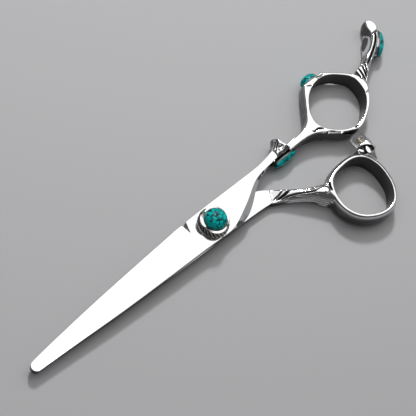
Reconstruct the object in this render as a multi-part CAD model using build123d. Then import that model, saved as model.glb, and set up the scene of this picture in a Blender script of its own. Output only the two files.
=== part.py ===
from build123d import *
import math
import os

os.makedirs("parts", exist_ok=True)

# Hair cutting shears, lying shut with the thumb blade underneath.
# Frame: millimetres, origin on the pivot axis at the plane they rest on, -X to the blade tips,
# +X to the finger rings, +Y to the finger-ring side, +Z up.

# Heights
BLADE_THICKNESS = 3.25
BLADE_GAP = 0.1
THUMB_TOP = BLADE_THICKNESS
FINGER_BOTTOM = THUMB_TOP + BLADE_GAP
FINGER_TOP = FINGER_BOTTOM + BLADE_THICKNESS
TIP_THICKNESS = 1.35
FINGER_RING_HEIGHT = 7.8
THUMB_RING_HEIGHT = 8.2
NECK_BOTTOM = 0.8

# Blades
TIP_X = -81.9
TIP_Y = -0.7
HEEL_X = -9.6
BEVEL_WIDTH = 1.1
BEVEL_DROP = 0.17
BLADE_INSET = 0.3
SHANK_BEVEL_DROP = 0.75

# Pivot
SCREW_R = 2.5
SCREW_HEAD_R = 4.0
SCREW_HEAD_DEPTH = 1.5
SCREW_FLATS = 3.8
THREAD_R = 1.9
SPANNER_HOLE_R = 0.45
SPANNER_HOLE_DEPTH = 0.8
SPANNER_HOLE_OFFSET = 2.4
RUNNING_GAP = 0.04
BUSH_R = 3.3
WASHER_R = 4.4
WASHER_RECESS = 0.25
WASHER_AIR = 0.02
WASHER_SIDE_AIR = 0.2
SEAT_R = 4.75
SEAT_DEPTH = 0.8
RACE_THICKNESS = 0.4
RACE_R = 4.6
LOWER_RACE_AIR = 0.3
BALL_R = 0.39
BALL_SPACE = 0.8
BALL_COUNT = 12
BALL_PITCH_R = 3.7
CAGE_WALL = 0.3
CAGE_THICKNESS = 0.4
CAGE_AIR = 0.06
CLICK_PLATE_THICKNESS = 0.5
CLICK_TEETH = 24
CLICK_SPRING_THICKNESS = 0.3
CLICK_SPRING_AIR = 0.05

# Tension knob
KNOB_R = 5.7
KNOB_TOP_R = 4.9
KNOB_AIR = 0.15
KNOB_HEIGHT = 2.6
KNOB_CAVITY_R = 4.9
KNOB_NOTCHES = (115, 295)
KNOB_NOTCH_R = 2.0
KNOB_NOTCH_OUT = 1.3
KNOB_LEAF_GAPS = (11, 110, 185, 290)
KNOB_STONE_R = 3.95
KNOB_STONE_DOME = 3.2
BEZEL_WALL = 0.5
SIDE_BEZEL_WALL = 0.25
BEZEL_HEIGHT = 0.6
BEZEL_FLOOR = 0.15
SIDE_BEZEL_HEIGHT = 0.4

# Rings
FINGER_RING = (68.25, 6.3)
FACET_Y = 18.9
THUMB_RING = (52.7, -23.4)
THUMB_WALL = 1.8
# Angle round the ring's centre in degrees, and radius of the opening there
FINGER_OPENING = [(0, 12.6), (30, 12.4), (80, 11.05), (125, 10.4), (160, 11.0), (184, 11.85), (211, 10.95),
                  (252, 10.4), (308, 10.7)]
THUMB_OPENING = [(0, 10.5), (45, 11.8), (85, 10.9), (133, 11.45), (180, 10.6), (217, 10.25), (252, 10.2),
                 (288, 11.1), (335, 10.5)]
RING_EDGE = 0.6

# Cabochons on the handle: half length, half height, how far each stands out of its rim
RING_STONE = (3.5, 2.8, 2.5)
SHANK_STONE = (5.2, 2.3, 1.8)
TANG_STONE = (5.3, 3.1, 2.3)
PAD_RIM = 0.3
STONE_STRAIGHT = 0.4

# Bumper
BUMPER = (66.1, 5.1)
BUMPER_R = 2.7
BUMPER_FRONT_Y = -6.35
BUMPER_BACK_Y = -10.6
CUP_R = 3.0
CUP_BACK_Y = -13.2
STUD_R = 0.8
STUD_HEAD_R = 1.3
STUD_HEAD_Y = (-8.9, -8.2)
STUD_BACK_Y = -12.2


def plate(outline, bottom, top):
    """A flat body between two heights from a closed list of plan edges."""
    return Pos(0, 0, bottom) * extrude(Face(Wire(outline)), top - bottom, dir=(0, 0, 1))


def disc(radius, bottom, top, hole=0):
    """A washer or disc on the pivot axis."""
    body = Pos(0, 0, bottom) * extrude(Circle(radius), top - bottom)
    if hole:
        body -= Pos(0, 0, bottom) * extrude(Circle(hole), top - bottom)
    return body


def side_profile(points, deep=90):
    """What lies inside a closed side view of straight and smooth runs, right through in Y."""
    return extrude(Plane.XZ * Face(Wire(points)), deep, both=True)


def tip_wedge(top):
    """What the taper towards the tip takes off a blade's outer face, for a blade facing up."""
    reach = HEEL_X - TIP_X + 10
    slope = (BLADE_THICKNESS - TIP_THICKNESS) / (HEEL_X - TIP_X)
    side = Polyline(
        (HEEL_X, top), (HEEL_X - reach, top - slope * reach), (HEEL_X - reach, top + 5),
        (HEEL_X, top + 5), close=True,
    )
    return side_profile(side.edges())


def blade_tip(heel_edge_y, heel_spine_y, inset, bottom, top):
    """The tapering part of a blade in front of its heel, still square at the tip."""
    start = TIP_X - 0.6
    upper = [(start, 0.9), (-80.2, 1.2), (-70, 2.25), (-50, 3.8), (-30, 5.0)]
    lower = [(start, -2.4), (-80.2, -2.55), (-70, -3.05), (-50, -4.2), (-30, -4.95)]
    upper = [(x, y - inset) for x, y in upper] + [(HEEL_X, heel_edge_y)]
    lower.append((HEEL_X, heel_spine_y))
    ends = [Line(lower[0], upper[0]), Line(lower[-1], upper[-1])]
    return plate([Spline(*upper), Spline(*lower), *ends], bottom, top)


def tip_corners():
    """What rounds the tip off in plan."""
    x, far = -80.2, TIP_X - 2
    upper, lower = (x, 1.2), (x, -2.55)
    outline = [
        ThreePointArc(lower, (TIP_X, TIP_Y), upper),
        *Polyline(upper, (x, 5), (far, 5), (far, -6), (x, -6), lower).edges(),
    ]
    return plate(outline, -1, FINGER_TOP + 1)


def cut_bevel(body, side, outer_is_up):
    """Grinds the narrow bevel along the outer edge of a blade's cutting side."""
    middle = Vector(-45, 4.1 * side, 0)
    long_edges = [e for e in body.edges() if e.length > 60 and e.center().Y * side > 2]
    outer = sorted(long_edges, key=lambda e: e.center().Z)[-1 if outer_is_up else 0]
    walls = [f for f in body.faces() if outer in f.edges() and abs(f.normal_at(middle).Z) < 0.5]
    return chamfer(outer, BEVEL_DROP, BEVEL_WIDTH, reference=walls[0])


def shank_under_points():
    """Lower side of the shank in plan from the tongue to the blade, and the width of its bevel."""
    return [
        (34.9, 4.3, 0), (30, 3.55, 0.3), (26.4, 2.5, 0.95), (23.1, 1.1, 1.35), (19.2, -1.45, 1.8),
        (15.2, -4.05, 2.3), (11.2, -5.75, 2.25), (6.5, -6.05, 0.8), (2, -5.9, 0),
    ]


def shank_bevel():
    """What the wide bevel under the shank takes off, fading out at both ends."""
    faces = []
    for height, reach in ((FINGER_TOP + 0.01, 1), (FINGER_TOP - SHANK_BEVEL_DROP, 0)):
        run = [(x - 0.5 * reach * wide, y + 0.87 * reach * wide + 0.01, height)
               for x, y, wide in shank_under_points()]
        corners = [(run[-1][0], run[-1][1] - 5, height), (run[0][0], run[-1][1] - 5, height)]
        faces.append(Face(Wire([Spline(*run), *Polyline(run[-1], *corners, run[0]).edges()])))
    return loft(faces, ruled=True)


def finger_blade():
    """Upper blade with its shank plate, whose round-ended tongue lies in the handle."""
    heel_edge, heel_spine = (HEEL_X, 6.0), (HEEL_X, -5.45)
    tip = blade_tip(heel_edge[1], heel_spine[1], 0, FINGER_BOTTOM, FINGER_TOP)
    tip = cut_bevel(tip - tip_wedge(FINGER_TOP), 1, True) - tip_corners()
    under = [(x, y) for x, y, _ in shank_under_points()]
    shank_outline = [
        Spline(heel_edge, (5, 6.1), (22, 5.95), (27, 6.0), (34.4, 6.9)),
        ThreePointArc((34.4, 6.9), (36.5, 5.7), under[0]),
        Spline(*under),
        Spline(under[-1], (-3, -5.7), heel_spine),
        Line(heel_spine, heel_edge),
    ]
    body = tip + (plate(shank_outline, FINGER_BOTTOM, FINGER_TOP) - shank_bevel())
    notch = Polyline((-9.7, 6.8), (-7.1, 6.8), (-8.8, 2.0), close=True)
    body -= plate(notch.edges(), 0, FINGER_TOP + 1)
    body -= disc(BUSH_R, 0, FINGER_TOP + 1)
    body -= disc(SEAT_R, FINGER_TOP - SEAT_DEPTH, FINGER_TOP + 1)
    return body - disc(WASHER_R + WASHER_SIDE_AIR, 0, FINGER_BOTTOM + WASHER_RECESS)


def thumb_tail_joint():
    """Where the thumb blade's tail meets its handle, as two plan points."""
    return (26.3, -2.6), (23.9, -6.65)


def thumb_blade():
    """Lower blade, with its cutting side to -Y and its bevel underneath."""
    heel_spine, heel_edge = (HEEL_X, 5.3), (HEEL_X, -5.6)
    tip = blade_tip(heel_spine[1], heel_edge[1], BLADE_INSET, 0, THUMB_TOP)
    tip = cut_bevel(tip - mirror(tip_wedge(0), Plane.XY), -1, False) - tip_corners()
    joint_top, joint_under = thumb_tail_joint()
    shank_outline = [
        Spline(heel_spine, (4, 5.2), (12, 4.0), (19, 1.3), (22.9, -0.4), joint_top),
        Line(joint_top, joint_under),
        Spline(joint_under, (15, -6.0), (2, -5.75), heel_edge),
        Line(heel_edge, heel_spine),
    ]
    body = tip + plate(shank_outline, 0, THUMB_TOP)
    body -= disc(SCREW_R, 0, THUMB_TOP)
    body -= screw_head()
    return body - disc(WASHER_R, THUMB_TOP - WASHER_RECESS, THUMB_TOP + 1)


def screw_head():
    return Cone(SCREW_HEAD_R, SCREW_R, SCREW_HEAD_DEPTH, align=(Align.CENTER, Align.CENTER, Align.MIN))


def knob_bottom():
    return FINGER_TOP + KNOB_AIR


def knob_top():
    return knob_bottom() + KNOB_HEIGHT


def ball_plane():
    """Height of the balls' centres."""
    return FINGER_TOP - SEAT_DEPTH + RACE_THICKNESS + BALL_SPACE / 2


def upper_race_top():
    return ball_plane() + BALL_SPACE / 2 + RACE_THICKNESS


def click_plate_top():
    return upper_race_top() + CLICK_PLATE_THICKNESS


def pivot_screw():
    """Flush countersunk screw with two spanner holes, flats for the click plate and a threaded end."""
    flats_bottom = FINGER_TOP
    body = screw_head() + disc(SCREW_R, 0, click_plate_top())
    thread_end = knob_top() - 0.3
    body += disc(THREAD_R, 0, thread_end)
    spare = Box(10, SCREW_R, click_plate_top() - flats_bottom, align=(Align.CENTER, Align.MIN, Align.MIN))
    for turn in (0, 180):
        body -= Rot(0, 0, turn) * Pos(0, SCREW_FLATS / 2, flats_bottom) * spare
    for side in (-1, 1):
        body -= Pos(side * SPANNER_HOLE_OFFSET, 0, 0) * extrude(Circle(SPANNER_HOLE_R), SPANNER_HOLE_DEPTH)
    return body


def flats_hole(thickness):
    """The screw's flatted section as a hole cutter, with a sliding gap."""
    round_part = extrude(Circle(SCREW_R + RUNNING_GAP), thickness)
    return round_part & Box(10, SCREW_FLATS + 2 * RUNNING_GAP, 2 * thickness)


def bearing_balls():
    ball = Sphere(BALL_R)
    step = 360 / BALL_COUNT
    return [Rot(0, 0, i * step) * Pos(BALL_PITCH_R, 0, ball_plane()) * ball for i in range(BALL_COUNT)]


def bearing_cage():
    half = CAGE_THICKNESS / 2
    middle = ball_plane()
    inner = BALL_PITCH_R - BALL_R - CAGE_WALL
    outer = BALL_PITCH_R + BALL_R + CAGE_WALL
    body = disc(outer, middle - half, middle + half, inner)
    hole = extrude(Circle(BALL_R + CAGE_AIR), 1, both=True)
    for i in range(BALL_COUNT):
        body -= Rot(0, 0, i * 360 / BALL_COUNT) * Pos(BALL_PITCH_R, 0, middle) * hole
    return body


def click_plate():
    """Plate keyed on the screw, with teeth round its rim for the spring to click over."""
    body = disc(KNOB_CAVITY_R - 0.5, upper_race_top(), click_plate_top())
    tooth_gap = Rot(0, 0, 45) * Box(0.5, 0.5, 2)
    for i in range(CLICK_TEETH):
        place = Rot(0, 0, i * 360 / CLICK_TEETH) * Pos(KNOB_CAVITY_R - 0.4, 0, click_plate_top())
        body -= place * tooth_gap
    return body - Pos(0, 0, upper_race_top()) * flats_hole(CLICK_PLATE_THICKNESS)


def click_spring():
    """Flat spring with two arms, held in the roof of the knob."""
    bottom = click_plate_top() + CLICK_SPRING_AIR
    body = disc(KNOB_CAVITY_R - 0.05, bottom, bottom + CLICK_SPRING_THICKNESS, THREAD_R + 0.5)
    slot = Pos(0, 0, bottom) * extrude(
        Pos(3.6, 0) * Rectangle(0.35, 4.4) + Pos(3.0, 2.2) * Rectangle(1.5, 0.35), CLICK_SPRING_THICKNESS
    )
    for turn in (0, 180):
        body -= Rot(0, 0, turn) * slot
    return body


def tension_knob():
    """Domed round knob with a waist and two thumb notches, hollow over the bearing."""
    bottom, top = knob_bottom(), knob_top()
    profile = [
        Line((0, bottom), (KNOB_R - 0.3, bottom)),
        ThreePointArc((KNOB_R - 0.3, bottom), (KNOB_R, bottom + 0.5), (KNOB_R - 0.15, bottom + 1.1)),
        ThreePointArc((KNOB_R - 0.15, bottom + 1.1), (KNOB_TOP_R + 0.45, bottom + 1.9), (KNOB_TOP_R, top)),
        Line((KNOB_TOP_R, top), (0, top)),
        Line((0, top), (0, bottom)),
    ]
    body = revolve(Plane.XZ * Face(Wire(profile)), Axis.Z)
    roof = click_plate_top() + CLICK_SPRING_AIR + CLICK_SPRING_THICKNESS
    body -= disc(KNOB_CAVITY_R, 0, roof)
    body -= disc(THREAD_R + RUNNING_GAP, 0, top + 1)
    for turn in KNOB_NOTCHES:
        body -= Rot(0, 0, turn) * Pos(KNOB_R + KNOB_NOTCH_OUT, 0, top - 0.6) * Sphere(KNOB_NOTCH_R)
    return body


def cup(half_length, half_height, depth, wall):
    """Oval setting with a floor, standing on its local XY plane."""
    outside = extrude(Ellipse(half_length + wall, half_height + wall), depth)
    inside = Pos(0, 0, BEZEL_FLOOR) * extrude(Ellipse(half_length, half_height), depth)
    return outside - inside


def cabochon(half_length, half_height, rim, proud):
    """Oval stone: a straight girdle that ends a little over the rim of its setting, then a dome."""
    girdle_top = rim + STONE_STRAIGHT
    girdle = Pos(0, 0, BEZEL_FLOOR) * extrude(Ellipse(half_length, half_height), girdle_top - BEZEL_FLOOR)
    dome = scale(Sphere(1), by=(half_length, half_height, proud - STONE_STRAIGHT))
    dome &= extrude(Rectangle(30, 30), proud + 1)
    return girdle + Pos(0, 0, girdle_top) * dome


def knob_bezel():
    """Cup for the knob's stone, its rim cut down between four leaves."""
    body = Pos(0, 0, knob_top()) * cup(KNOB_STONE_R, KNOB_STONE_R, BEZEL_HEIGHT, BEZEL_WALL)
    for turn in KNOB_LEAF_GAPS:
        body -= Rot(0, 0, turn) * Pos(KNOB_STONE_R + 1, 0, knob_top() + BEZEL_HEIGHT) * Box(2.4, 0.8, 0.5)
    return body


def knob_stone():
    stone = cabochon(KNOB_STONE_R, KNOB_STONE_R, BEZEL_HEIGHT, KNOB_STONE_DOME)
    return Pos(0, 0, knob_top()) * stone


def round_outline(centre, radii, wall):
    """Smooth closed plan curve through radii at given angles, at a distance outside them."""
    points = []
    for degrees, radius in radii:
        turn = math.radians(degrees)
        reach = radius + wall
        points.append((centre[0] + reach * math.cos(turn), centre[1] + reach * math.sin(turn)))
    return [Spline(*points, periodic=True)]


def tang_path():
    """Plan points, plan thickness and height of the finger rest from the ring to its tip."""
    return [
        (82.0, 8.4, 5.4, 7.0),
        (85.6, 10.1, 3.5, 5.8),
        (89.6, 11.5, 2.9, 5.2),
        (93.6, 13.1, 2.7, 6.6),
        (97.3, 15.2, 2.6, 7.5),
        (100.3, 17.9, 2.7, 7.2),
        (102.1, 21.2, 2.5, 5.4),
        (102.0, 23.2, 1.4, 2.6),
    ]


def tang():
    """Finger rest, a bar that narrows at its neck and widens into an upright curved paddle."""
    path = tang_path()
    sections = []
    for i, (x, y, thick, height) in enumerate(path):
        before, after = path[max(i - 1, 0)], path[min(i + 1, len(path) - 1)]
        along = Vector(after[0] - before[0], after[1] - before[1], 0).normalized()
        across = Vector(-along.Y, along.X, 0)
        section = Plane((x, y, FINGER_RING_HEIGHT / 2), x_dir=across, z_dir=along)
        sections.append(section * Ellipse(thick / 2, height / 2))
    return loft(sections)


def tang_seat():
    """Plane on the outside of the finger rest that its stone's setting stands on."""
    return Plane((100.4, 15.35, 4.0), x_dir=(0.72, 0.694, 0), z_dir=(0.694, -0.72, 0))


def ring_seat():
    return Plane((67.9, FACET_Y, 4.2), x_dir=(-1, 0, 0), z_dir=(0, 1, 0))


def shank_seat():
    return Plane((39.4, 3.3, 3.6), x_dir=(1, 0, 0), z_dir=(0, -1, 0))


def collar():
    """Flared bell round the shank, tallest towards +Y, with its open side to the ring."""
    small = Plane((35.6, 5.3, 3.9), x_dir=(0, 1, 0), z_dir=(1, 0, 0)) * Ellipse(1.9, 3.0)
    large = Plane((41.2, 6.9, 4.1), x_dir=(0, 1, 0), z_dir=(1, 0, 0)) * Ellipse(3.6, 3.9)
    bell = loft([small, large])
    dish = Plane((42.6, 7.2, 4.1), x_dir=(0, 1, 0), z_dir=(1, 0, 0)) * Circle(3.0)
    return bell - extrude(dish, 1.9, dir=(-1, 0, 0))


def finger_handle():
    """Shank under the blade's tongue, collar, finger ring and finger rest, in one casting."""
    outer = [
        Spline((44.5, 5.9), (50, 6.35), (54.5, 9.0), (58.5, 14.2), (62.0, 18.2)),
        ThreePointArc((62.0, 18.2), (62.8, 18.75), (63.6, FACET_Y)),
        Line((63.6, FACET_Y), (72.2, FACET_Y)),
        Spline((72.2, FACET_Y), (76, 15.6), (80.3, 12.0), (83.6, 8.5), (83.6, 4.4), (80, 0.2), (75, -3.9)),
        Spline((75, -3.9), (71, -5.7), (67, -6.05), (63, -5.3), (58, -1.2), (53.5, 2.6), (48, 3.2), (44.5, 3.3)),
        Line((44.5, 3.3), (44.5, 5.9)),
    ]
    opening = plate(round_outline(FINGER_RING, FINGER_OPENING, 0), 0, FINGER_RING_HEIGHT)
    ring = plate(outer, 0, FINGER_RING_HEIGHT) - opening
    rims = [e for e in ring.edges() if e.length > 60]
    ring = fillet(rims, RING_EDGE)
    shank_outline = [
        Spline((28.5, 5.8), (34.4, 6.9), (38, 6.3), (45.5, 5.95)),
        Line((45.5, 5.95), (45.5, 3.3)),
        Line((45.5, 3.3), (34, 3.3)),
        Spline((34, 3.3), (31.5, 3.75), (28.5, 3.45)),
        Line((28.5, 3.45), (28.5, 5.8)),
    ]
    shank_top = FINGER_TOP + 0.35
    shank = plate(shank_outline, 0, shank_top)
    side = [
        Spline((28.5, FINGER_BOTTOM - 0.6), (33, NECK_BOTTOM + 0.4), (38, NECK_BOTTOM)),
        Line((38, NECK_BOTTOM), (45.5, 0)),
        Line((45.5, 0), (45.5, shank_top + 1)),
        Line((45.5, shank_top + 1), (28.5, shank_top + 1)),
        Line((28.5, shank_top + 1), (28.5, FINGER_BOTTOM - 0.6)),
    ]
    shank &= side_profile(side)
    body = ring + shank + collar() + tang()
    body -= opening
    pad = extrude(Ellipse(TANG_STONE[0] + PAD_RIM, TANG_STONE[1] + PAD_RIM), -1.6)
    body += tang_seat().location * pad
    # The tongue and what lies over it stay free for the blade plate.
    bed = plate(
        [
            Line((20, 9), (20, 0)),
            Line((20, 0), (34.9, 4.3)),
            ThreePointArc((34.9, 4.3), (36.5, 5.7), (34.4, 6.9)),
            Line((34.4, 6.9), (20, 9)),
        ],
        FINGER_BOTTOM, FINGER_TOP + 3,
    )
    return body - bed


def thumb_handle():
    """Carved neck, thumb ring and the cup that holds the bumper, in one casting."""
    ring = plate(round_outline(THUMB_RING, THUMB_OPENING, THUMB_WALL), 0, THUMB_RING_HEIGHT)
    joint_top, joint_under = thumb_tail_joint()
    neck_outline = [
        Spline(joint_top, (29.5, -5.4), (33, -8.6), (37, -11.3), (42, -12.2), (47.5, -12.0)),
        Line((47.5, -12.0), (41.0, -25.5)),
        Spline((41.0, -25.5), (39.6, -20.5), (36.8, -16.0), (31.5, -11.6), joint_under),
        Line(joint_under, joint_top),
    ]
    neck = plate(neck_outline, 0, THUMB_RING_HEIGHT)
    side = [
        Spline((20, THUMB_TOP), (26, THUMB_TOP + 0.1), (33, 6.3), (40, THUMB_RING_HEIGHT - 0.1)),
        Line((40, THUMB_RING_HEIGHT - 0.1), (60, THUMB_RING_HEIGHT - 0.1)),
        Line((60, THUMB_RING_HEIGHT - 0.1), (60, 0)),
        Line((60, 0), (36, 0)),
        Spline((36, 0), (31, 0.5), (26, 0.1), (20, 0)),
        Line((20, 0), (20, THUMB_TOP)),
    ]
    neck &= side_profile(side)
    across = Plane((BUMPER[0], CUP_BACK_Y, BUMPER[1]), x_dir=(1, 0, 0), z_dir=(0, 1, 0))
    cup_body = extrude(across * Circle(CUP_R), BUMPER_BACK_Y - CUP_BACK_Y)
    web = plate(
        [
            Spline((57, -12.2), (60, -11.8), (62.7, -10.8)),
            Line((62.7, -10.8), (68.2, -11.2)),
            Spline((68.2, -11.2), (67.4, -14.5), (65.6, -20)),
            Line((65.6, -20), (57, -12.2)),
        ],
        0.9, THUMB_RING_HEIGHT - 0.4,
    )
    body = ring + neck + cup_body + web
    body -= plate(round_outline(THUMB_RING, THUMB_OPENING, 0), 0, THUMB_RING_HEIGHT)
    return body - stud_shape()


def stud_shape():
    """Threaded stud along +Y with a round head at its front."""
    x, z = BUMPER
    along = Plane((x, 0, z), x_dir=(1, 0, 0), z_dir=(0, 1, 0))
    shaft = extrude(along.offset(STUD_BACK_Y) * Circle(STUD_R), STUD_HEAD_Y[1] - STUD_BACK_Y)
    head = extrude(along.offset(STUD_HEAD_Y[0]) * Circle(STUD_HEAD_R), STUD_HEAD_Y[1] - STUD_HEAD_Y[0])
    return shaft + head


def bumper():
    """Soft stop moulded round the stud's head, with a rounded front."""
    x, z = BUMPER
    along = Plane((x, BUMPER_BACK_Y, z), x_dir=(1, 0, 0), z_dir=(0, 1, 0))
    body = extrude(along * Circle(BUMPER_R), BUMPER_FRONT_Y - BUMPER_BACK_Y)
    front = body.edges().filter_by(GeomType.CIRCLE).sort_by(Axis.Y)[-1]
    return fillet(front, 1.2) - stud_shape()


def build():
    """Every node by name."""
    seat_floor = FINGER_TOP - SEAT_DEPTH
    upper_race_bottom = ball_plane() + BALL_SPACE / 2
    washer_bottom = THUMB_TOP - WASHER_RECESS
    washer_top = FINGER_BOTTOM + WASHER_RECESS - WASHER_AIR
    nodes = {
        "finger_blade": finger_blade(),
        "finger_handle": finger_handle(),
        "thumb_blade": thumb_blade(),
        "thumb_handle": thumb_handle(),
        "pivot_screw": pivot_screw(),
        "pivot_bushing": disc(BUSH_R, FINGER_BOTTOM + WASHER_RECESS, seat_floor, SCREW_R + RUNNING_GAP),
        "glide_washer": disc(WASHER_R, washer_bottom, washer_top, SCREW_R + RUNNING_GAP),
        "bearing_lower_race": disc(RACE_R, seat_floor, seat_floor + RACE_THICKNESS, SCREW_R + LOWER_RACE_AIR),
        "bearing_balls": bearing_balls(),
        "bearing_cage": bearing_cage(),
        "bearing_upper_race": disc(RACE_R, upper_race_bottom, upper_race_top(), SCREW_R + RUNNING_GAP),
        "click_plate": click_plate(),
        "click_spring": click_spring(),
        "tension_knob": tension_knob(),
        "knob_bezel": knob_bezel(),
        "knob_stone": knob_stone(),
        "bumper_stud": stud_shape(),
        "bumper": bumper(),
    }
    settings = {
        "ring_stone": (ring_seat(), RING_STONE),
        "shank_stone": (shank_seat(), SHANK_STONE),
        "tang_stone": (tang_seat(), TANG_STONE),
    }
    for name, (seat, (half_length, half_height, proud)) in settings.items():
        nodes[name] = seat.location * cabochon(half_length, half_height, SIDE_BEZEL_HEIGHT, proud)
        setting = cup(half_length, half_height, SIDE_BEZEL_HEIGHT, SIDE_BEZEL_WALL)
        nodes[name + "_bezel"] = seat.location * setting
    return nodes


for node, shape in build().items():
    solids = shape if isinstance(shape, list) else shape.solids()
    export_step(Compound(children=list(solids), label=node), f"parts/{node}.step")
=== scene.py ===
import bpy
import math
import numpy as np
import openvdb
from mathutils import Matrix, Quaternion, Vector


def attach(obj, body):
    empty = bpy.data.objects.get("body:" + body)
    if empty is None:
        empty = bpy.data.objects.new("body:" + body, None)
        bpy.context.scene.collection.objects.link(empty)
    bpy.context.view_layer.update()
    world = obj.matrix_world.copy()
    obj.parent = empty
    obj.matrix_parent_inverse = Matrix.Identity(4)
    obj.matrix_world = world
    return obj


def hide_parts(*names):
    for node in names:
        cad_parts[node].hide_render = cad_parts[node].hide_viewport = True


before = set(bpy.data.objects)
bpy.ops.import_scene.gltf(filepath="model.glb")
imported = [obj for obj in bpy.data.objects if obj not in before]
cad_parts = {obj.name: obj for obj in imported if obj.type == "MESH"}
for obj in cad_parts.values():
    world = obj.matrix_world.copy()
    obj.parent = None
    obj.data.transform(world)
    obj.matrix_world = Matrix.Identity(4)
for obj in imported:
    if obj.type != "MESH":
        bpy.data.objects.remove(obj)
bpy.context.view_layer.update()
MM = 0.001

# ---------------------------------------------------------------- camera, light and floor
AIM = Vector((5.73, 6.29, 0)) * MM
CAMERA_DISTANCE = 0.6
CAMERA_HEADING = math.radians(17.9)
CAMERA_ELEVATION = math.radians(62)
CAMERA_ROLL = math.radians(32)
LENS_MM = 150.6
SENSOR_MM = 36
FLOOR_REACH = 6
PALE_GREY = (0.62, 0.62, 0.63, 1)
ROOM_GREY = (0.07, 0.07, 0.073, 1)


def make_camera():
    flat = math.cos(CAMERA_ELEVATION)
    heading = (flat * math.cos(CAMERA_HEADING), flat * math.sin(CAMERA_HEADING))
    forward = Vector((*heading, -math.sin(CAMERA_ELEVATION)))
    data = bpy.data.cameras.new("camera")
    data.lens = LENS_MM
    data.sensor_width = SENSOR_MM
    data.clip_start = 0.01
    camera = bpy.data.objects.new("camera", data)
    camera.rotation_mode = "QUATERNION"
    camera.rotation_quaternion = forward.to_track_quat("-Z", "Y") @ Quaternion((0, 0, 1), CAMERA_ROLL)
    camera.location = AIM - forward * CAMERA_DISTANCE
    bpy.context.scene.collection.objects.link(camera)
    bpy.context.scene.camera = camera


def area_light(name, place, size, power, aim=(0.01, 0, 0)):
    data = bpy.data.lights.new(name, "AREA")
    data.shape = "RECTANGLE"
    data.size, data.size_y = size
    data.energy = power
    light = bpy.data.objects.new(name, data)
    light.location = place
    light.rotation_mode = "QUATERNION"
    light.rotation_quaternion = (Vector(aim) - Vector(place)).to_track_quat("-Z", "Y")
    bpy.context.scene.collection.objects.link(light)


def make_floor():
    mesh = bpy.data.meshes.new("floor")
    far = FLOOR_REACH
    corners = [(-far, -far, 0), (far, -far, 0), (far, far, 0), (-far, far, 0)]
    mesh.from_pydata(corners, [], [(0, 1, 2, 3)])
    floor = bpy.data.objects.new("floor", mesh)
    material = bpy.data.materials.new("floor")
    material.use_nodes = True
    shader = material.node_tree.nodes["Principled BSDF"]
    shader.inputs["Base Color"].default_value = PALE_GREY
    shader.inputs["Roughness"].default_value = 0.7
    mesh.materials.append(material)
    bpy.context.scene.collection.objects.link(floor)


make_camera()
make_floor()
# Place, size in metres and watts. The flat tops mirror the two softboxes.
area_light("key_softbox", (0.31, 0.12, 0.62), (0.6, 0.5), 1.15)
area_light("top_softbox", (-0.14, 0.18, 0.68), (0.5, 0.55), 0.8)
area_light("side_card", (0.58, -0.12, 0.33), (0.6, 0.4), 0.19)
area_light("shadow_light", (0.33, 0.42, 0.62), (0.1, 0.1), 2.4)
world = bpy.data.worlds.new("world")
world.use_nodes = True
world.node_tree.nodes["Background"].inputs["Color"].default_value = ROOM_GREY
bpy.context.scene.world = world
bpy.context.scene.view_settings.view_transform = "Standard"

# ---------------------------------------------------------------- distance fields, in millimetres
# Carving depth at which the painted shade in recesses is full.
CARVE_FULL = 0.35
NO_CUT = 3.0
GROOVE_MARGIN = 1.5
GROOVE_FLOOR = 0.06


def soft_min(a, b, blend):
    """Union of two fields with a fillet of about that size."""
    gap = np.maximum(blend - np.abs(a - b), 0) / blend
    return np.minimum(a, b) - gap * gap * blend / 4


def soft_max(a, b, blend):
    return -soft_min(-a, -b, blend)


def spline(points, steps=12):
    """A natural cubic curve through the points, sampled. Columns after x and y follow along."""
    p = np.array(points, float)
    count = len(p)
    matrix = np.eye(count) * 4 + np.eye(count, k=1) + np.eye(count, k=-1)
    pull = 6 * (np.roll(p, 1, 0) - 2 * p + np.roll(p, -1, 0))
    matrix[[0, -1]] = np.eye(count)[[0, -1]]
    pull[[0, -1]] = 0
    bend = np.linalg.solve(matrix, pull)
    t = np.linspace(0, 1, steps, endpoint=False)[:, None]
    spans = []
    for i in range(count - 1):
        lean = ((1 - t) ** 3 - (1 - t)) * bend[i] + (t**3 - t) * bend[i + 1]
        spans.append((1 - t) * p[i] + t * p[i + 1] + lean / 6)
    return np.vstack([*spans, p[-1:]])


def level(points):
    """A smooth function of one coordinate through (coordinate, value) points, flat beyond its ends."""
    line = spline(points, 24)
    return lambda x: np.interp(x, line[:, 0], line[:, 1])


def strip(x, y, lower, upper):
    """Plan distance to the band between two curves over x."""
    rise = [(curve(x + 0.1) - curve(x - 0.1)) / 0.2 for curve in (lower, upper)]
    below = (lower(x) - y) / np.hypot(1, rise[0])
    above = (y - upper(x)) / np.hypot(1, rise[1])
    return np.maximum(above, below)


def slab(flat, z, bottom, top, edge):
    """A plan distance given height, with rounded edges."""
    side = flat + edge
    rise = np.abs(z - (top + bottom) / 2) - (top - bottom) / 2 + edge
    inside = np.minimum(np.maximum(side, rise), 0)
    return inside + np.hypot(np.maximum(side, 0), np.maximum(rise, 0)) - edge


def oval(u, v, a, b):
    """Distance to an ellipse, near its edge."""
    k = np.hypot(u / a, v / b)
    return k * (k - 1) / np.maximum(np.hypot(u / a**2, v / b**2), 1e-6)


def ball(x, y, z, centre, radii):
    """Distance to an ellipsoid, near its surface."""
    u, v, w = x - centre[0], y - centre[1], z - centre[2]
    a, b, c = radii
    k = np.sqrt((u / a) ** 2 + (v / b) ** 2 + (w / c) ** 2)
    return k * (k - 1) / np.maximum(np.sqrt((u / a**2) ** 2 + (v / b**2) ** 2 + (w / c**2) ** 2), 1e-6)


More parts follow.
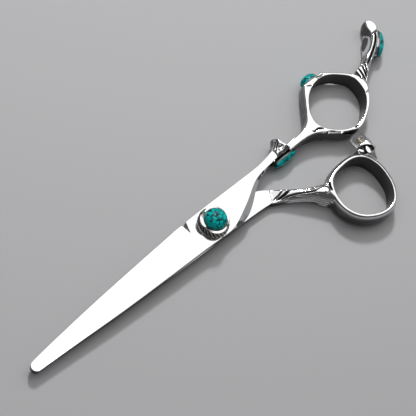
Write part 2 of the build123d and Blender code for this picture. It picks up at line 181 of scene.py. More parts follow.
def turn_table(points):
    """Radius and its slope for each angle round a closed outline, from a few (degrees, radius) points."""
    wrapped = [(a - 360, r) for a, r in points[-3:]] + points + [(a + 360, r) for a, r in points[:3]]
    line = spline(wrapped, 40)
    return line[:, 0], line[:, 1], np.gradient(line[:, 1], np.radians(line[:, 0]))


def around(x, y, centre, table):
    """Plan distance outside a closed outline, and the angle in degrees."""
    angle = np.degrees(np.arctan2(y - centre[1], x - centre[0])) % 360
    radius = np.interp(angle, table[0], table[1])
    slope = np.interp(angle, table[0], table[2])
    return (np.hypot(x - centre[0], y - centre[1]) - radius) / np.hypot(1, slope / radius), angle


def along(x, y, line):
    """Nearest place on an open curve: distance (+ on its left), share of its length, further columns."""
    x, y = np.broadcast_arrays(x, y)
    best = np.full(x.shape, 1e9)
    place = np.zeros(x.shape)
    side = np.ones(x.shape)
    for i in range(len(line) - 1):
        ax, ay = line[i, :2]
        dx, dy = line[i + 1, :2] - line[i, :2]
        t = np.clip(((x - ax) * dx + (y - ay) * dy) / (dx * dx + dy * dy), 0, 1)
        px, py = x - ax - t * dx, y - ay - t * dy
        far = px * px + py * py
        nearer = far < best
        best = np.where(nearer, far, best)
        place = np.where(nearer, i + t, place)
        side = np.where(nearer, np.where(dx * py - dy * px < 0, -1.0, 1.0), side)
    index = np.arange(len(line))
    columns = [np.interp(place, index, line[:, c]) for c in range(2, line.shape[1])]
    return side * np.sqrt(best), place / (len(line) - 1), columns


def groove(x, y, z, points, top, depth, half_width):
    """Cutter for a V groove along a plan curve, sunk in a face at height top. Its ends fade out."""
    line = spline(points, 6)
    x, y, z, top = np.broadcast_arrays(x, y, z, top) if np.ndim(x) == 1 else (x, y, z, top)
    low, high = line[:, :2].min(0) - GROOVE_MARGIN, line[:, :2].max(0) + GROOVE_MARGIN
    if np.ndim(x) == 1:
        near = (x > low[0]) & (x < high[0]) & (y > low[1]) & (y < high[1])
        cut = np.full(x.shape, NO_CUT)
        if near.any():
            cut[near] = groove_depth(x[near], y[near], z[near], line, top[near], depth, half_width)
        return cut
    return groove_depth(x, y, z, line, top, depth, half_width)


def groove_depth(x, y, z, line, top, depth, half_width):
    off, share, _ = along(x, y, line)
    fade = np.clip(np.minimum(share, 1 - share) * 5, 0, 1) ** 0.5
    slope = depth / half_width
    return (np.hypot(off, GROOVE_FLOOR) * slope + top - depth * fade - z) / np.hypot(1, slope)


def mesh_of(name, field, low, high, step, base=None):
    """Mesh of a field's zero level: a dense grid, then its vertices moved onto the surface."""
    axes = [np.arange(low[i], high[i] + step, step) for i in range(3)]
    x, y, z = axes[0][:, None, None], axes[1][None, :, None], axes[2][None, None, :]
    values = np.broadcast_to(field(x, y, z), [len(a) for a in axes])
    grid = openvdb.FloatGrid(background=3 * step)
    grid.copyFromArray(np.clip(values, -3 * step, 3 * step).astype(np.float32))
    points, _, quads = grid.convertToPolygons(isovalue=0.0, adaptivity=0.0)
    points = points * step + np.array(low)
    value, normal = value_and_normal(field, points)
    points = points - np.clip(value, -step / 2, step / 2)[:, None] * normal
    _, normal = value_and_normal(field, points)
    mesh = bpy.data.meshes.new(name)
    mesh.from_pydata((points * MM).tolist(), [], quads.tolist())
    if base is not None:
        # Depth under the uncarved casting, which drives painted shade in the carved recesses.
        carve = np.clip(-base(*points.T) / CARVE_FULL, 0, 1)
        mesh.attributes.new("carve", "FLOAT", "POINT").data.foreach_set("value", carve.astype(np.float32))
    mesh.update()
    mesh.shade_smooth()
    mesh.normals_split_custom_set_from_vertices(normal.tolist())
    piece = bpy.data.objects.new(name, mesh)
    bpy.context.scene.collection.objects.link(piece)
    return piece


def value_and_normal(field, points, reach=0.05):
    """Distance to the zero level and the unit gradient at a list of points, from four samples round each."""
    value, slope = 0, 0
    for way in ((1, -1, -1), (-1, -1, 1), (-1, 1, -1), (1, 1, 1)):
        sample = field(*(points + reach * np.array(way)).T)
        value = value + sample / 4
        slope = slope + sample[:, None] * np.array(way)
    length = np.maximum(np.linalg.norm(slope, axis=1), 1e-9)
    return value / np.maximum(length / (4 * reach), 0.3), slope / length[:, None]


# ---------------------------------------------------------------- finger handle
GRID = 0.185
FINGER_RING = (68.25, 6.3)
FINGER_TOP = 7.8
FACET_Y = 18.9
BLADE_UNDER = 3.35
BLADE_AIR = 0.01
TONGUE_AIR = 0.03
BED_END = 33.5
SHANK_ENDS = (28.5, 58)
TANG_MIDDLE = 3.9
TIP_HALF_HEIGHT = 3.1
TIP_STEP_Y = 19.2
SIDE_FACET_ANGLE = 233
TANG_SEAT = ((100.4, 15.35, 4.0), (0.694, -0.72))
TANG_PAD = (5.55, 3.35, 1.8)

finger_outline = turn_table([
    (0, 15.0), (20, 14.2), (33, 13.2), (47, 12.5), (64, 12.6), (77, 13.3), (92, 13.6), (109, 13.6),
    (119, 12.9), (138, 12.0), (156, 12.3), (180, 12.4), (205, 12.3), (220, 12.0), (235, 11.9), (251, 12.0),
    (268, 12.2), (284, 11.95),
    (300, 11.8), (317, 12.3), (331, 13.1), (342, 13.8),
])
finger_opening = turn_table([
    (0, 12.6), (14, 12.9), (25, 12.6), (39, 11.8), (58, 11.4), (80, 11.05), (110, 10.45), (143, 10.45),
    (158, 10.95), (172, 11.45), (184, 11.85), (197, 11.55), (211, 10.95), (232, 10.4), (270, 10.4),
    (290, 10.6), (308, 10.7), (326, 11.27), (345, 12.15),
])
shank_upper = level([(27, 5.9), (34.4, 6.9), (38, 6.2), (44, 5.9), (50, 6.3), (53, 7.3), (56, 9.6)])
shank_lower = level([(27, 3.6), (31, 3.95), (34, 3.4), (45, 3.3), (50, 3.1), (53.5, 2.2), (57, 0.2)])
shank_top = level([(28, 6.9), (43, 7.0), (50, 7.6), (56, FINGER_TOP)])
shank_bottom = level([(28.5, 2.9), (33, 1.4), (38, 0.8), (45, 0.3), (52, 0.0)])
tongue_upper = level([(20, 5.95), (27, 6.0), (34.4, 6.9)])
tongue_lower = level([(19.2, -1.45), (23.1, 1.1), (26.4, 2.5), (30, 3.55), (34.9, 4.3)])
bell_reach = level([(35.2, 0.0), (37, 0.2), (39, 0.5), (40.6, 0.85), (41.6, 1.08)])
BELL_START = 35.2
BELL_LIP = 41.6
BELL_LEAN = 0.31
BELL_TOP = 7.85
tang_line = spline([
    # x, y, half thickness, half height, edge rounding, dish of the inner side
    (80.5, 6.5, 3.4, 3.9, 0.4, 0.0),
    (84.5, 9.3, 2.4, 3.9, 0.4, 0.0),
    (88.4, 10.8, 1.7, 3.6, 0.6, 0.0),
    (90.8, 11.8, 1.5, 3.2, 0.9, 0.0),
    (93.1, 12.9, 1.45, 3.1, 1.0, 0.2),
    (95.7, 14.1, 1.45, 3.4, 1.0, 0.5),
    (97.7, 15.4, 1.45, 3.7, 1.0, 0.8),
    (99.9, 17.2, 1.4, 3.85, 1.0, 0.9),
    (101.5, 19.2, 1.4, 3.7, 1.0, 0.7),
    (102.1, 21.6, 1.25, 3.1, 0.9, 0.2),
])


def finger_plan(x, y):
    """Plan distance to the ring, its web and the shank together."""
    ring, angle = around(x, y, FINGER_RING, finger_outline)
    start, end = SHANK_ENDS
    shank = np.maximum(strip(x, y, shank_lower, shank_upper), np.maximum(start - x, x - end))
    return np.maximum(soft_min(ring, shank, 2.4), y - FACET_Y), angle


def bell_station(x, y):
    """Place along the bell, which leans so that its lip isn't square to the shank."""
    return x + BELL_LEAN * (y - 4.45)


def bell_frame(x, y, z):
    """Sideways and upward places from the bell's middle, its half width and its half height there."""
    reach = bell_reach(x)
    return y - 5.1 - 1.8 * reach, z - 3.9 - 0.2 * reach, 1.8 + 1.7 * reach, 3.1 + 0.9 * reach


def finger_bell(x, y, z):
    """Flared bell round the shank, fluted outside, with a beaded lip and a dished open side."""
    reach = bell_station(x, y)
    side, rise, wide, tall = bell_frame(reach, y, z)
    bell = oval(side, rise, wide, tall)
    open_side = ball(reach, y, z, (43.0, 7.4, 4.3), (2.4, 3.0, 3.3))
    saddle = ball(x, y, z, (38.7, 6.1, 8.7), (2.1, 1.5, 1.6))
    body = np.maximum(bell, np.maximum(BELL_START - reach, reach - BELL_LIP))
    body = soft_max(soft_max(body, -open_side, 0.3), -saddle, 0.2)
    body = soft_min(body, np.hypot(bell + 0.15, reach - BELL_LIP + 0.1) - 0.38, 0.1)
    return soft_max(body, z - BELL_TOP, 0.15)


def bell_flutes(x, y, z):
    """Cutter for the flutes down the outside of the bell, which stop short of its lip."""
    reach = bell_station(x, y)
    side, rise, wide, tall = bell_frame(reach, y, z)
    turn = np.arctan2(rise / tall, side / wide)
    ends = np.clip((reach - 35.6) / 1.5, 0, 1) * np.clip((BELL_LIP - 0.7 - reach) / 0.4, 0, 1)
    fade = ends * np.clip((y - 6.6) / 0.8, 0, 1)
    return -oval(side, rise, wide, tall) - 0.6 * fade * (0.5 + 0.5 * np.cos(18 * turn)) + 0.02


def finger_tang(x, y, z):
    """Finger rest: a bar with a waist that widens into an upright dished paddle with a full tip."""
    off, _, (thick, tall, edge, dish) = along(x, y, tang_line)
    rise = (z - TANG_MIDDLE) / tall
    flare = 2.3 * dish * np.clip(-rise, 0, 1)
    bar = slab(np.abs(off - flare / 2) - thick - flare / 2, z, TANG_MIDDLE - tall, TANG_MIDDLE + tall, edge)
    hollow = thick + flare - dish * np.maximum(1 - (rise / 0.8) ** 2, 0)
    bar = np.where(off > 0, soft_max(bar, off - hollow, 0.25), bar)
    tip = ball(x, y, z, (102.6, 21.4, TANG_MIDDLE), (2.15, 3.1, 5.5))
    limit = TIP_HALF_HEIGHT + np.clip(TIP_STEP_Y - y, 0, 1)
    return soft_max(soft_min(bar, tip, 0.8), np.abs(z - TANG_MIDDLE) - limit, 0.35)


def tang_pad(x, y, z):
    """Flat oval pad on the outside of the finger rest, under its stone."""
    (cx, cy, cz), (nx, ny) = TANG_SEAT
    out = (x - cx) * nx + (y - cy) * ny
    run = -(x - cx) * ny + (y - cy) * nx
    half_length, half_height, thick = TANG_PAD
    return slab(oval(run, z - cz, half_length, half_height), out, -thick, -0.01, 0.1)


def finger_base(x, y, z):
    """The casting before it is carved."""
    plan, angle = finger_plan(x, y)
    top, bottom = shank_top(x), shank_bottom(x)
    body = slab(plan, z, bottom, top, 0.4)
    under_side = np.clip(2.5 - np.abs(angle - SIDE_FACET_ANGLE) / 15, 0, 1) * (x > 52.5)
    foot = np.clip((x - 52.5) / 3, 0, 1)
    upper_facet = (z - top, 0.25 + 0.5 * under_side, 0.25 + 0.95 * under_side)
    lower_facet = (bottom - z, 0.25 + 0.6 * foot, 0.25 + 3.0 * foot)
    for height, wide, deep in (upper_facet, lower_facet):
        facet = (plan / wide + height / deep + 1) / np.hypot(1 / wide, 1 / deep)
        body = soft_max(body, facet, 0.12)
    body = soft_min(body, finger_tang(x, y, z), 0.9)
    body = soft_min(body, finger_bell(x, y, z), 0.35)
    body = np.minimum(body, tang_pad(x, y, z))
    hole, _ = around(x, y, FINGER_RING, finger_opening)
    return soft_max(soft_max(body, -hole, 0.35), -z, 0.15)


fan_grooves = [
    # upper end, middle, lower end, half width
    ([(83.3, 11.9), (83.25, 9.7), (82.9, 7.7)], 0.4),
    ([(85.2, 11.8), (84.7, 9.4), (84.0, 6.6)], 0.38),
    ([(87.4, 11.9), (86.3, 9.5), (84.9, 7.0)], 0.34),
    ([(89.6, 12.9), (88.2, 10.6), (86.2, 8.0)], 0.28),
]
bell_foot = [(33.8, 3.9), (36.5, 3.9), (39.1, 3.9), (41.4, 4.7)]
edge_groove = [(89.3, 10.9), (93.3, 12.6), (97.8, 15.1), (100.3, 17.3), (101.6, 19.0)]
leaf_marks = [
    # points, depth, half width
    ([(63.8, 17.9), (64.6, 17.5), (65.6, 16.9)], 0.4, 0.25),
    ([(68.9, 18.4), (70.3, 17.9), (72.5, 17.7)], 0.4, 0.28),
    ([(69.4, 17.4), (69.9, 18.5)], 0.4, 0.25),
    ([(66.9, -4.5), (67.7, -4.75), (68.5, -4.6)], 0.7, 0.35),
    ([(52.9, 3.9), (53.8, 3.2), (55.6, 3.1), (57.2, 1.8)], 0.8, 0.4),
]


def finger_cuts(x, y, z):
    """All the carving, as one cutter."""
    cut = np.where((x > BELL_START - 1.2) & (x < BELL_LIP - 0.1), bell_flutes(x, y, z), NO_CUT)
    cut = np.minimum(cut, groove(x, y, z, bell_foot, 7.0, 0.7, 0.35))
    tall = np.interp(x, tang_line[:, 0], tang_line[:, 3])
    for height in (z, 2 * TANG_MIDDLE - z):
        for line, half_width in fan_grooves:
            cut = np.minimum(cut, groove(x, y, height, line, TANG_MIDDLE + tall, 1.2, half_width))
        cut = np.minimum(cut, groove(x, y, height, edge_groove, TANG_MIDDLE + tall, 1.0, 0.45))
    for line, depth, half_width in leaf_marks:
        cut = np.minimum(cut, groove(x, y, z, line, FINGER_TOP, depth, half_width))
    return cut


def blade_tongue(x, y):
    """Plan distance to the blade's round-ended tongue."""
    band = np.maximum(strip(x, y, tongue_lower, tongue_upper), x - 34.9)
    return np.minimum(band, np.hypot(x - 35.1, y - 5.69) - 1.4)


def finger_handle(x, y, z):
    body = soft_max(finger_base(x, y, z), -finger_cuts(x, y, z), 0.12)
    above = BLADE_UNDER - BLADE_AIR - z
    bed = np.maximum(blade_tongue(x, y) - TONGUE_AIR, above)
    ahead = np.maximum(x - BED_END, above)
    return np.maximum(body, -np.minimum(bed, ahead))


# ---------------------------------------------------------------- thumb handle
THUMB_RING = (52.7, -23.4)
THUMB_TOP = 8.2
THUMB_RIM = 0.6
THUMB_SWELL = 1.4
TAIL_MIDDLE = (25.1, -4.625)
TAIL_NORMAL = (0.86, -0.51)
CUP = (66.1, 5.1, 3.0)
CUP_FRONT_Y = -10.6
CUP_BACK_Y = -14.5
BUMPER_CLEARANCE_R = 2.45
CLAW_END_Y = -21.5
CLAW_BOTTOM = 0.9

thumb_opening = turn_table([
    (0, 10.5), (27, 11.3), (50, 11.8), (80, 10.9), (105, 10.85), (133, 11.45), (160, 10.85), (180, 10.6),
    (217, 10.25), (252, 10.2), (288, 11.1), (312, 10.85), (340, 10.45),
])
neck_line = spline([
    # x, y, half width
    (23.0, -3.2, 2.5),
    (25.3, -4.9, 2.4),
    (28.6, -7.1, 2.1),
    (32.3, -9.8, 1.75),
    (35.9, -12.4, 1.7),
    (38.8, -14.4, 2.2),
    (41.4, -16.3, 3.2),
    (44.5, -17.5, 3.7),
])
neck_top = level([(24, 3.25), (26, 3.4), (29, 4.6), (33, 6.4), (37, 7.6), (41, THUMB_TOP), (60, THUMB_TOP)])
neck_bottom = level([(24, 0), (26, 0.05), (31, 0.9), (36, 0.8), (41, 0), (60, 0)])


def thumb_ring(x, y, z):
    """Ring with an upright inner wall and a swelling outer side, and its plan distance from the opening."""
    out, _ = around(x, y, THUMB_RING, thumb_opening)
    middle = THUMB_TOP / 2
    swell = oval(np.maximum(out - THUMB_RIM, 0), z - middle, THUMB_SWELL, middle)
    turn = np.arctan2(y - THUMB_RING[1], x - THUMB_RING[0])
    fall = 0.45 * np.maximum(out - 0.2, 0) * np.clip(1.6 * np.cos(turn - 0.1) - 0.5, 0, 1)
    return soft_max(swell, z - THUMB_TOP + fall, 0.2), out


def thumb_neck(x, y, z):
    """Neck from the blade's tail to the ring, with leaf veins along the side that falls away."""
    off, _, (half_width,) = along(x, y, neck_line)
    rounding = np.clip((x - 24) / 8, 0.05, 1) * 1.3
    crown = neck_top(x) - 0.55 * np.clip((x - 25) / 8, 0, 1) * np.maximum(-off - 0.5, 0)
    ends = np.clip((x - 26) / 5, 0, 1) * np.clip((45 - x) / 3, 0, 1)
    veins = 0.32 * ends * np.clip(-off, 0, 1) * (0.5 + 0.5 * np.cos(4.4 * z - 0.35 * x))
    side = np.maximum(np.abs(off) - half_width + veins, x - 45)
    return slab(side, z, neck_bottom(x), crown, rounding)


claw_left = level([(-16, 60.7), (-14, 60.6), (-12.2, 60.8), (-11.2, 61.3), (-10.4, 62.2)])
claw_right = level([
    (-22, 64.0), (-19.5, 65.3), (-16.4, 66.4), (-14.3, 67.2), (-13, 67.6), (-11.4, 68.0), (-10.4, 66.6),
])
CLAW_TOP = 7.8
CLAW_POCKET = (63.9, -13.1, 3.0, 1.75, -25)
pebbles = [(62.1, -12.6, 1.2, 0.75, -54), (64.5, -13.8, 1.65, 0.95, 78)]


def turned_oval(x, y, shape):
    """Plan distance to an ellipse given as its centre, half sizes and turn in degrees."""
    cx, cy, a, b, degrees = shape
    c, s = math.cos(math.radians(degrees)), math.sin(math.radians(degrees))
    return oval((x - cx) * c + (y - cy) * s, (y - cy) * c - (x - cx) * s, a, b)


def thumb_claw(x, y, z):
    """Leaf-shaped swelling that holds the bumper's cup."""
    front = y - CUP_FRONT_Y + 0.07 * (x - 64.6) ** 2
    leaf = np.maximum(strip(y, x, claw_left, claw_right), np.maximum(front, CLAW_END_Y - y))
    web = slab(leaf, z, CLAW_BOTTOM, CLAW_TOP - 0.35 * np.clip(-14.4 - y, 0, 4), 0.3)
    cup_line = oval(x - CUP[0], z - CUP[1], CUP[2], CUP[2])
    cup = np.maximum(cup_line, np.maximum(y - CUP_FRONT_Y, CUP_BACK_Y - y))
    return soft_min(web, cup, 0.4)


def pebble(x, y, z, shape):
    """One of the flat-topped pebbles in the claw's pocket, a little proud of the claw."""
    return slab(turned_oval(x, y, shape), z, 5.5, CLAW_TOP + 0.3, 0.4)


def claw_pocket(x, y, z):
    """Cutter for the pocket round the pebbles, which painted shade in carved recesses turns black."""
    pocket = np.maximum(turned_oval(x, y, CLAW_POCKET), CLAW_TOP - 0.8 - z)
    both = np.minimum(*[pebble(x, y, z, shape) for shape in pebbles])
    return soft_max(pocket, -both, 0.1)


def thumb_base(x, y, z):
    """The casting before it is carved."""
    ring, out = thumb_ring(x, y, z)
    body = soft_min(ring, thumb_neck(x, y, z), 1.6)
    body = soft_min(body, thumb_claw(x, y, z), 0.5)
    for shape in pebbles:
        body = np.minimum(body, pebble(x, y, z, shape))
    body = soft_max(body, -out, 0.45)
    return soft_max(soft_max(body, z - THUMB_TOP, 0.2), -z, 0.15)


neck_grooves = [
    # points, depth, half width
    ([(24.7, -6.1), (26.9, -6.2), (29.8, -5.6)], 0.5, 0.3),
    ([(25.6, -6.9), (27.6, -7.2), (29.4, -7.3), (31.9, -7.0)], 0.8, 0.5),
    ([(26.2, -7.5), (28.4, -8.2), (31.5, -9.6), (36.1, -12.6), (38.4, -13.7)], 0.7, 0.4),
    ([(26.6, -8.5), (30.2, -10.3), (33.6, -12.4), (37.4, -15.3)], 0.6, 0.35),
    ([(32.9, -9.3), (36.6, -11.9), (39.6, -13.1), (43.6, -13.6)], 0.45, 0.25),
    ([(37.4, -13.2), (40.2, -13.9), (43.2, -14.2)], 0.5, 0.3),
    ([(43.9, -14.0), (42.9, -15.2), (42.2, -17.2)], 1.1, 0.45),
    ([(37.2, -15.3), (38.8, -17.3), (39.9, -19.8), (40.4, -22.6)], 0.8, 0.45),
]
claw_grooves = [
    ([(66.9, -13.0), (66.3, -16.0), (65.3, -19.4)], 0.5, 0.3),
    ([(65.4, -16.6), (65.2, -18.4), (64.7, -21.0)], 0.45, 0.28),
    ([(64.2, -16.4), (64.5, -18.6), (64.4, -20.6)], 0.4, 0.25),
]


def scroll_points():
    """Spiral beside the ring, from outside in."""
    turns = np.linspace(-1.9, 3.4, 12)
    return [(40.6 + (1.3 - 0.22 * a) * math.cos(a), -15.8 - (1.3 - 0.22 * a) * math.sin(a)) for a in turns]


def thumb_cuts(x, y, z):
    """All the carving, as one cutter."""
    top = neck_top(x)
    cut = groove(x, y, z, scroll_points(), top, 0.6, 0.3)
    cut = np.minimum(cut, claw_pocket(x, y, z))
    for points, depth, half_width in neck_grooves:
        cut = np.minimum(cut, groove(x, y, z, points, top, depth, half_width))
    for points, depth, half_width in claw_grooves:
        cut = np.minimum(cut, groove(x, y, z, points, CLAW_TOP, depth + 0.4, half_width))
    return cut


def thumb_handle(x, y, z):
    body = soft_max(thumb_base(x, y, z), -thumb_cuts(x, y, z), 0.12)
    before_joint = -((x - TAIL_MIDDLE[0]) * TAIL_NORMAL[0] + (y - TAIL_MIDDLE[1]) * TAIL_NORMAL[1])
    clearance = np.maximum(np.hypot(x - CUP[0], z - CUP[1]) - BUMPER_CLEARANCE_R, CUP_FRONT_Y - y)
    return np.maximum(np.maximum(body, before_joint), -clearance)



# ---------------------------------------------------------------- tension knob
KNOB_BOTTOM = 6.75
KNOB_TOP = 9.35
KNOB_CAVITY = (4.9, 8.25)
KNOB_BORE = 1.94
KNOB_GRID = 0.09
ROPE_FLUTES = 24
NOTCH_DISTANCE = 7.0
NOTCH_R = 2.0
KNOB_NOTCHES = (115, 295)
STONE_SEAT = (3.97, 9.5)
LEAF_BREAKS = (11, 110, 185, 290, 371)
LEAF_WIDTHS = (0.7, 1.0, 0.8, 0.65)
LEAF_FOOT = 4.1

knob_side = level([(6.75, 5.45), (7.2, 5.7), (7.8, 5.55), (8.5, 5.2), (9.35, 4.95)])


def knob_body(x, y, z):
    """Outside of the knob: a waisted drum with two notches for the fingers."""
    body = slab(np.hypot(x, y) - knob_side(z), z, KNOB_BOTTOM, KNOB_TOP, 0.25)
    for degrees in KNOB_NOTCHES:
        turn = math.radians(degrees)
        centre = (NOTCH_DISTANCE * math.cos(turn), NOTCH_DISTANCE * math.sin(turn), KNOB_TOP - 0.6)
        body = soft_max(body, -ball(x, y, z, centre, (NOTCH_R,) * 3), 0.3)
    return body


def knob(x, y, z):
    """Knob with rope flutes round its side, hollow over the bearing."""
    wave = (0.5 + 0.5 * np.cos(ROPE_FLUTES * np.arctan2(y, x) + 4.0 * z)) ** 0.7
    fade = np.clip((z - KNOB_BOTTOM - 0.2) / 0.3, 0, 1) * np.clip((np.hypot(x, y) - 4.95) / 0.2, 0, 1)
    body = knob_body(x, y, z) + 0.38 * fade * wave
    cavity = np.maximum(np.hypot(x, y) - KNOB_CAVITY[0], z - KNOB_CAVITY[1])
    return np.maximum(body, -np.minimum(cavity, np.hypot(x, y) - KNOB_BORE))


def ring_blank(x, y, z):
    """The plain ring the leaves are cut from."""
    return slab(np.hypot(x, y) - 5.3, z, KNOB_TOP - 0.2, KNOB_TOP + 0.5, 0.1)


def leaf_ring(x, y, z):
    """Four leaves lying one over the next round the stone, each rising and widening along its length."""
    radius = np.hypot(x, y)
    angle = (np.degrees(np.arctan2(y, x)) - LEAF_BREAKS[0]) % 360 + LEAF_BREAKS[0]
    body = slab(radius - 4.95, z, KNOB_TOP - 0.2, KNOB_TOP + 0.08, 0.08)
    for start, end, width in zip(LEAF_BREAKS, LEAF_BREAKS[1:], LEAF_WIDTHS):
        share = np.clip((angle - start) / (end - start), 0, 1)
        half = 0.1 + 0.6 * width * np.sin(math.pi * (0.1 + 0.8 * share)) ** 0.8
        lift = 0.1 + 0.45 * np.minimum(share * 2.5, 1)
        leaf = slab(np.abs(radius - LEAF_FOOT - half) - half, z, KNOB_TOP - 0.2, KNOB_TOP + lift, 0.15)
        side = np.maximum(start - angle, angle - end) * math.radians(1) * radius
        body = np.minimum(body, soft_max(leaf, side + 0.25, 0.25))
    return body


def stone_setting(x, y, z):
    """The leaves with the stone's seat cut out of them."""
    seat = np.maximum(np.hypot(x, y) - STONE_SEAT[0], STONE_SEAT[1] - z)
    return np.maximum(leaf_ring(x, y, z), -seat)

# ---------------------------------------------------------------- materials
class Paint:
    """A material whose node tree is built a node at a time."""

    def __init__(self, name, **sockets):
        self.material = bpy.data.materials.new(name)
        self.material.use_nodes = True
        self.tree = self.material.node_tree
        self.shader = self.tree.nodes["Principled BSDF"]
        self.set(self.shader, {SOCKETS[key]: value for key, value in sockets.items()})
        self.place = self.add("TexCoord")

    def set(self, node, inputs):
        for key, value in inputs.items():
            if isinstance(value, bpy.types.NodeSocket):
                self.tree.links.new(value, node.inputs[key])
            else:
                node.inputs[key].default_value = value

    def add(self, kind, inputs=None, **settings):
        node = self.tree.nodes.new("ShaderNode" + kind)
        for key, value in settings.items():
            setattr(node, key, value)
        self.set(node, inputs or {})
        return node

    def maths(self, operation, *values):
        return self.add("Math", dict(enumerate(values)), operation=operation).outputs[0]

    def ramp(self, value, low, high, to_low, to_high):
        """A value's span carried smoothly onto another."""
        spans = {"Value": value, "From Min": low, "From Max": high, "To Min": to_low, "To Max": to_high}
        return self.add("MapRange", spans, interpolation_type="SMOOTHSTEP").outputs["Result"]

    def noise(self, size_mm, detail=3, stretch=(1, 1, 1), warp=0.0):
        """Noise with features of about that size, drawn out along an axis by stretch."""
        scale = [1 / (MM * size_mm * s) for s in stretch]
        mapped = self.add("Mapping", {"Vector": self.place.outputs["Object"], "Scale": scale})
        settings = {"Vector": mapped.outputs[0], "Scale": 1, "Detail": detail, "Distortion": warp}
        return self.add("TexNoise", settings).outputs["Fac"]

    def blend(self, factor, first, second):
        return self.add("Mix", {0: factor, 6: first, 7: second}, data_type="RGBA").outputs[2]

    def bump(self, height, depth_mm, under=None):
        inputs = {"Height": height, "Strength": 1, "Distance": MM * depth_mm}
        if under is not None:
            inputs["Normal"] = under
        return self.add("Bump", inputs).outputs[0]

    def facing_up(self):
        """Zero on upright walls, one on faces that lie flat: the mask for painted shade on walls."""
        split = self.add("SeparateXYZ", {0: self.place.outputs["Normal"]})
        return self.ramp(self.maths("ABSOLUTE", split.outputs[2]), 0.1, 0.6, 0, 1)


SOCKETS = {
    "colour": "Base Color", "metallic": "Metallic", "roughness": "Roughness", "ior": "IOR",
    "gloss": "Specular IOR Level", "clear": "Transmission Weight",
}


def metal(name, colour, dark, roughness, stretch=(1, 1, 1), carved=False, wall=0.09):
    """Polished metal: fine polishing lines, faint smudges, painted shade on upright walls and painted shade
    in carved recesses.
    """
    paint = Paint(name, metallic=1.0)
    # Painted shade: the base colour darkens on upright walls, down to wall times the colour, by the
    # object-space normal.
    shade = paint.ramp(paint.facing_up(), 0, 1, wall, 1)
    tone = paint.noise(5, 3)
    shade = paint.maths("MULTIPLY", shade, paint.ramp(tone, 0.3, 0.7, 0.95, 1))
    rough = paint.ramp(tone, 0.25, 0.75, roughness * 0.75, roughness * 1.3)
    if carved:
        # Painted shade: carved recesses darken toward the dark colour by their carve depth, with slight
        # noise.
        carve = paint.add("Attribute", attribute_name="carve").outputs["Fac"]
        recess_shade = paint.maths("MULTIPLY", carve, paint.ramp(paint.noise(0.5, 2), 0.2, 0.6, 0.85, 1))
        shade = paint.maths("MULTIPLY", shade, paint.maths("SUBTRACT", 1, recess_shade))
        rough = paint.maths("ADD", rough, paint.maths("MULTIPLY", carve, 0.35))
    lines = paint.noise(0.12, 2, stretch)
    waves = paint.noise(2.5, 1)
    normal = paint.bump(lines, 0.0012, paint.bump(waves, 0.006))
    paint.set(paint.shader, {
        "Base Color": paint.blend(shade, (*dark, 1), (*colour, 1)), "Roughness": rough, "Normal": normal,
    })
    return paint.material


def turquoise(name, offset):
    """Blue-green stone with a dark branching matrix of coarse and fine veins, polished."""
    paint = Paint(name, gloss=0.2)
    shift = paint.add("VectorMath", {0: paint.place.outputs["Object"], 1: offset}).outputs[0]
    warp = paint.add("TexNoise", {"Vector": shift, "Scale": 520, "Detail": 4}).outputs["Color"]
    bent = paint.add("VectorMath", {0: warp, 1: (0.0017, 0.0017, 0.0017)}, operation="MULTIPLY").outputs[0]
    place = paint.add("VectorMath", {0: shift, 1: bent}).outputs[0]
    patch = paint.noise(2.2, 4)
    veins = []
    for scale, thin, thick in ((640, 0.02, 0.1), (1300, 0.0, 0.1)):
        cells = paint.add("TexVoronoi", {"Vector": place, "Scale": scale}, feature="DISTANCE_TO_EDGE")
        width = paint.ramp(paint.noise(1500 / scale, 2), 0.35, 0.65, thin, thick)
        share = paint.maths("DIVIDE", cells.outputs["Distance"], paint.maths("ADD", width, 0.002))
        veins.append(paint.ramp(share, 0.5, 1.5, 0, 1))
    fine = paint.ramp(veins[1], 0, 1, 0.6, 1)
    clean = paint.maths("MULTIPLY", veins[0], fine)
    green = paint.blend(paint.ramp(patch, 0.3, 0.7, 0, 1), (0.0, 0.40, 0.41, 1), (0.0, 0.78, 0.74, 1))
    paint.set(paint.shader, {
        "Base Color": paint.blend(clean, (0.005, 0.02, 0.028, 1), green),
        "Roughness": paint.ramp(clean, 0, 1, 0.4, 0.22), "Normal": paint.bump(clean, 0.02),
    })
    return paint.material


def silicone(name):
    """Clear soft silicone, slightly hazy, with faint moulding waves."""
    paint = Paint(name, colour=(0.97, 0.98, 0.98, 1), ior=1.36, clear=1.0)
    haze = paint.noise(1.5, 3)
    paint.set(paint.shader, {
        "Roughness": paint.ramp(haze, 0.3, 0.7, 0.02, 0.07), "Normal": paint.bump(paint.noise(0.8, 2), 0.004),
    })
    return paint.material


def plastic(name, colour):
    """Smooth white slip plastic with a fine matt grain and slight yellowing."""
    paint = Paint(name)
    tone = paint.ramp(paint.noise(1.8, 3), 0.3, 0.7, 0, 1)
    aged = tuple(c * f for c, f in zip(colour, (0.94, 0.9, 0.8)))
    paint.set(paint.shader, {
        "Base Color": paint.blend(tone, (*aged, 1), (*colour, 1)),
        "Roughness": paint.ramp(tone, 0, 1, 0.45, 0.6), "Normal": paint.bump(paint.noise(0.1, 2), 0.004),
    })
    return paint.material


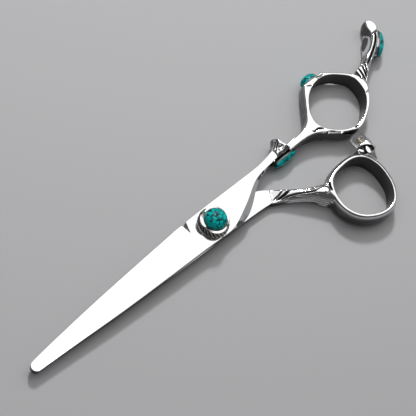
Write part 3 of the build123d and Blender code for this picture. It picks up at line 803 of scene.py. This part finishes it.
STEEL, CHROME = (0.86, 0.87, 0.88), (0.87, 0.87, 0.87)
# Dark colours that the painted shade on walls and in carved recesses blends toward.
SHADE_BLACK, SHADE_BROWN = (0.012, 0.012, 0.013), (0.03, 0.02, 0.013)
ALONG_BLADE, ACROSS_BLADE = (60, 1, 1), (1, 60, 1)
# Each metal's wall value is the share of its colour left on upright walls under painted shade.
looks = {
    "blade_steel": metal("blade_steel", STEEL, SHADE_BLACK, 0.1, ALONG_BLADE),
    "handle_steel": metal("handle_steel", CHROME, SHADE_BLACK, 0.11, carved=True),
    "pivot_steel": metal("pivot_steel", (0.72, 0.72, 0.73), SHADE_BLACK, 0.22, ACROSS_BLADE, wall=0.7),
    "bearing_steel": metal("bearing_steel", (0.68, 0.69, 0.70), SHADE_BLACK, 0.16, wall=0.8),
    "bronze": metal("bronze", (0.62, 0.38, 0.16), SHADE_BROWN, 0.3, wall=0.8),
    "stud_brass": metal("stud_brass", (0.95, 0.86, 0.6), SHADE_BROWN, 0.25, wall=0.97),
    "dark_setting": metal("dark_setting", (0.22, 0.21, 0.20), SHADE_BLACK, 0.3, wall=0.5),
    "knob_silver": metal("knob_silver", (0.88, 0.87, 0.85), SHADE_BROWN, 0.1, carved=True),
    "washer_plastic": plastic("washer_plastic", (0.88, 0.88, 0.85)),
    "clear_silicone": silicone("clear_silicone"),
}
for number, stone in enumerate(("knob_stone", "ring_stone", "shank_stone", "tang_stone")):
    looks[stone] = turquoise(stone, (0.011 * number, 0.007 * number, 0.003))

# ---------------------------------------------------------------- every piece
node_looks = {
    "finger_blade": "blade_steel", "thumb_blade": "blade_steel", "finger_handle": "handle_steel",
    "thumb_handle": "handle_steel", "pivot_screw": "pivot_steel", "pivot_bushing": "bronze",
    "glide_washer": "washer_plastic", "bearing_lower_race": "bearing_steel",
    "bearing_upper_race": "bearing_steel", "bearing_balls": "bearing_steel", "bearing_cage": "bronze",
    "click_plate": "pivot_steel", "click_spring": "bearing_steel", "tension_knob": "knob_silver",
    "knob_bezel": "knob_silver", "knob_stone": "knob_stone", "ring_stone": "ring_stone",
    "shank_stone": "shank_stone", "tang_stone": "tang_stone", "ring_stone_bezel": "dark_setting",
    "shank_stone_bezel": "dark_setting", "tang_stone_bezel": "dark_setting", "bumper_stud": "stud_brass",
    "bumper": "clear_silicone",
}
pieces = {
    # name: field, field before carving, low and high corner, grid, body, CAD node, slot
    "finger_handle_casting": (
        finger_handle, finger_base, (28, -7, -0.4), (105, 25, 9.4), GRID, "finger_side", "finger_handle",
        "handle_steel"),
    "thumb_handle_casting": (
        thumb_handle, thumb_base, (22, -38.5, -0.4), (70, -1, 8.8), GRID, "thumb_side", "thumb_handle",
        "handle_steel"),
    "fluted_knob": (
        knob, knob_body, (-6.2, -6.2, 6.5), (6.2, 6.2, 9.6), KNOB_GRID, "knob", "tension_knob",
        "knob_silver"),
    "leaf_bezel": (
        stone_setting, ring_blank, (-6, -6, 9.1), (6, 6, 10.6), KNOB_GRID, "knob", "knob_bezel",
        "knob_silver"),
}
for name, (field, base, low, high, grid, body, node, look) in pieces.items():
    piece = mesh_of(name, field, low, high, grid, base)
    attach(piece, body)
    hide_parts(node)
    piece.data.materials.append(looks[look])

for name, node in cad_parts.items():
    node.data.materials.clear()
    node.data.materials.append(looks[node_looks[name]])
